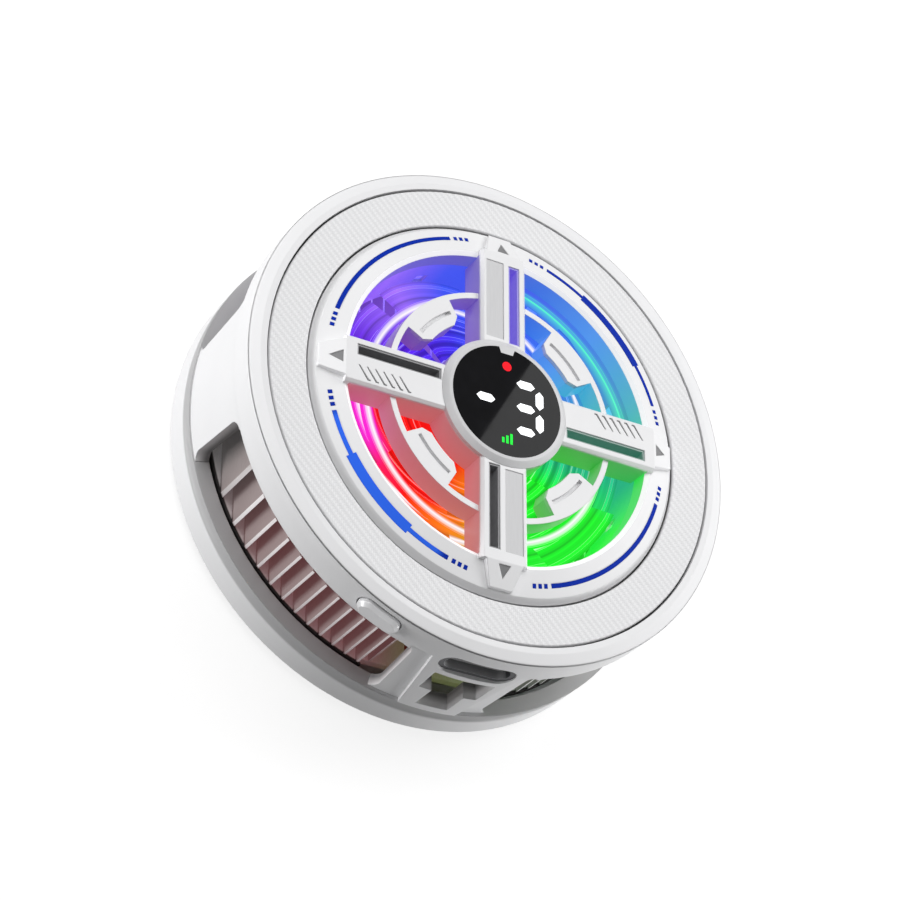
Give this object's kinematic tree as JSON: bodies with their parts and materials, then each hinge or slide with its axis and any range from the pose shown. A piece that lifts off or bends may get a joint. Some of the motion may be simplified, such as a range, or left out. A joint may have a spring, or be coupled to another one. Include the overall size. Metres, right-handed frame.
{
  "type": "phone cooling fan",
  "caption": "Round magnetic phone cooler: spoked front grille over a lit fan, round temperature display, finned heat sink behind side vents, cold plate underneath, USB socket and side button.",
  "frame": {"origin": "centre of the contact face that lies on the phone", "axes": "+Z out of the front grille along the fan axis, -Y towards the USB socket, +Y towards the top of the display"},
  "size_m": [0.0646, 0.0646, 0.0252],
  "materials": {
    "white_shell": "fine satin moulded white plastic",
    "trim_weave": "pale woven-look film under satin lacquer",
    "dark_adhesive": "matt black foam tape",
    "accent_blue": "royal blue print",
    "hub_silver": "pale silver lacquer",
    "lens_black": "polished black",
    "lit_white": "lit white light guide",
    "lit_red": "lit red light guide",
    "lit_green": "lit green light guide",
    "board_green": "solder mask",
    "ribbon": "flat polyimide cable",
    "frame_grey": "moulded plastic",
    "led_yellow": "LED package",
    "brass": "turned",
    "bush_bronze": "sintered",
    "lamination": "stamped laminations",
    "copper_wire": "enamelled winding",
    "fan_plastic": "translucent plastic, lit in colours",
    "rotor_steel": "pressed steel",
    "magnet_black": "bonded magnet",
    "magnet_nickel": "nickel plate",
    "shaft_steel": "ground steel",
    "fin_aluminium": "stamped fins",
    "cold_aluminium": "brushed cold plate",
    "ceramic_white": "alumina plate",
    "pellet_grey": "semiconductor pellet",
    "lead_red": "silicone wire",
    "foam_grey": "closed-cell foam",
    "pad_silicone": "soft silicone",
    "chip_black": "moulded chip",
    "socket_steel": "drawn steel shell",
    "tongue_black": "moulded tongue",
    "screw_steel": "zinc plated",
    "mark_grey": "dark grey fill",
    "panel_silver": "brushed silver lacquer",
    "liner_dark": "smoked plastic, tinted by the fan's light"
  },
  "bodies": {
    "case": {"side_housing": "white_shell", "front_bezel": "white_shell", "rear_cover": "white_shell", "trim_ring": "trim_weave", "trim_adhesive": "dark_adhesive", "front_grille": "white_shell", "accent_inlays": "accent_blue", "mark_inlays": "mark_grey", "panel_inlays": "panel_silver", "slot_liners": "liner_dark", "hub_bezel": "hub_silver", "display_lens": "lens_black", "display_segments": "lit_white", "indicator_red": "lit_red", "indicator_green": "lit_green", "display_board": "board_green", "display_ribbon": "ribbon", "fan_frame": "frame_grey", "led_strip": "ribbon", "rgb_leds": "led_yellow", "bearing_tube": "brass", "bearing_bush": "bush_bronze", "stator_core": "lamination", "stator_coils": "copper_wire", "motor_board": "board_green", "motor_ribbon": "ribbon", "heat_sink": "fin_aluminium", "peltier_plates": "ceramic_white", "peltier_legs": "pellet_grey", "peltier_leads": "lead_red", "foam_frame": "foam_grey", "cold_plate": "cold_aluminium", "contact_pad": "pad_silicone", "magnet_ring": "magnet_nickel", "magnet_yoke": "rotor_steel", "control_board": "board_green", "board_chips": "chip_black", "usb_shell": "socket_steel", "usb_tongue": "tongue_black", "switch_body": "chip_black", "switch_board": "board_green", "case_screws": "screw_steel", "frame_screws": "screw_steel", "grille_screws": "screw_steel"},
    "fan_rotor": {"impeller": "fan_plastic", "rotor_cup": "rotor_steel", "rotor_magnet": "magnet_black", "rotor_shaft": "shaft_steel", "shaft_clip": "magnet_black"},
    "button": {"power_button": "white_shell", "switch_plunger": "tongue_black"}
  },
  "joints": [
    {"name": "fan_spin", "type": "hinge", "parent": "case", "child": "fan_rotor", "pos_m": [0, 0, 0.018], "axis": [0, 0, 1], "continuous": true},
    {"name": "button_press", "type": "slide", "parent": "case", "child": "button", "axis": [0.4258, 0.9048, 0], "range_m": [0, 0.0004], "stiffness_N_per_m": 1000}
  ]
}
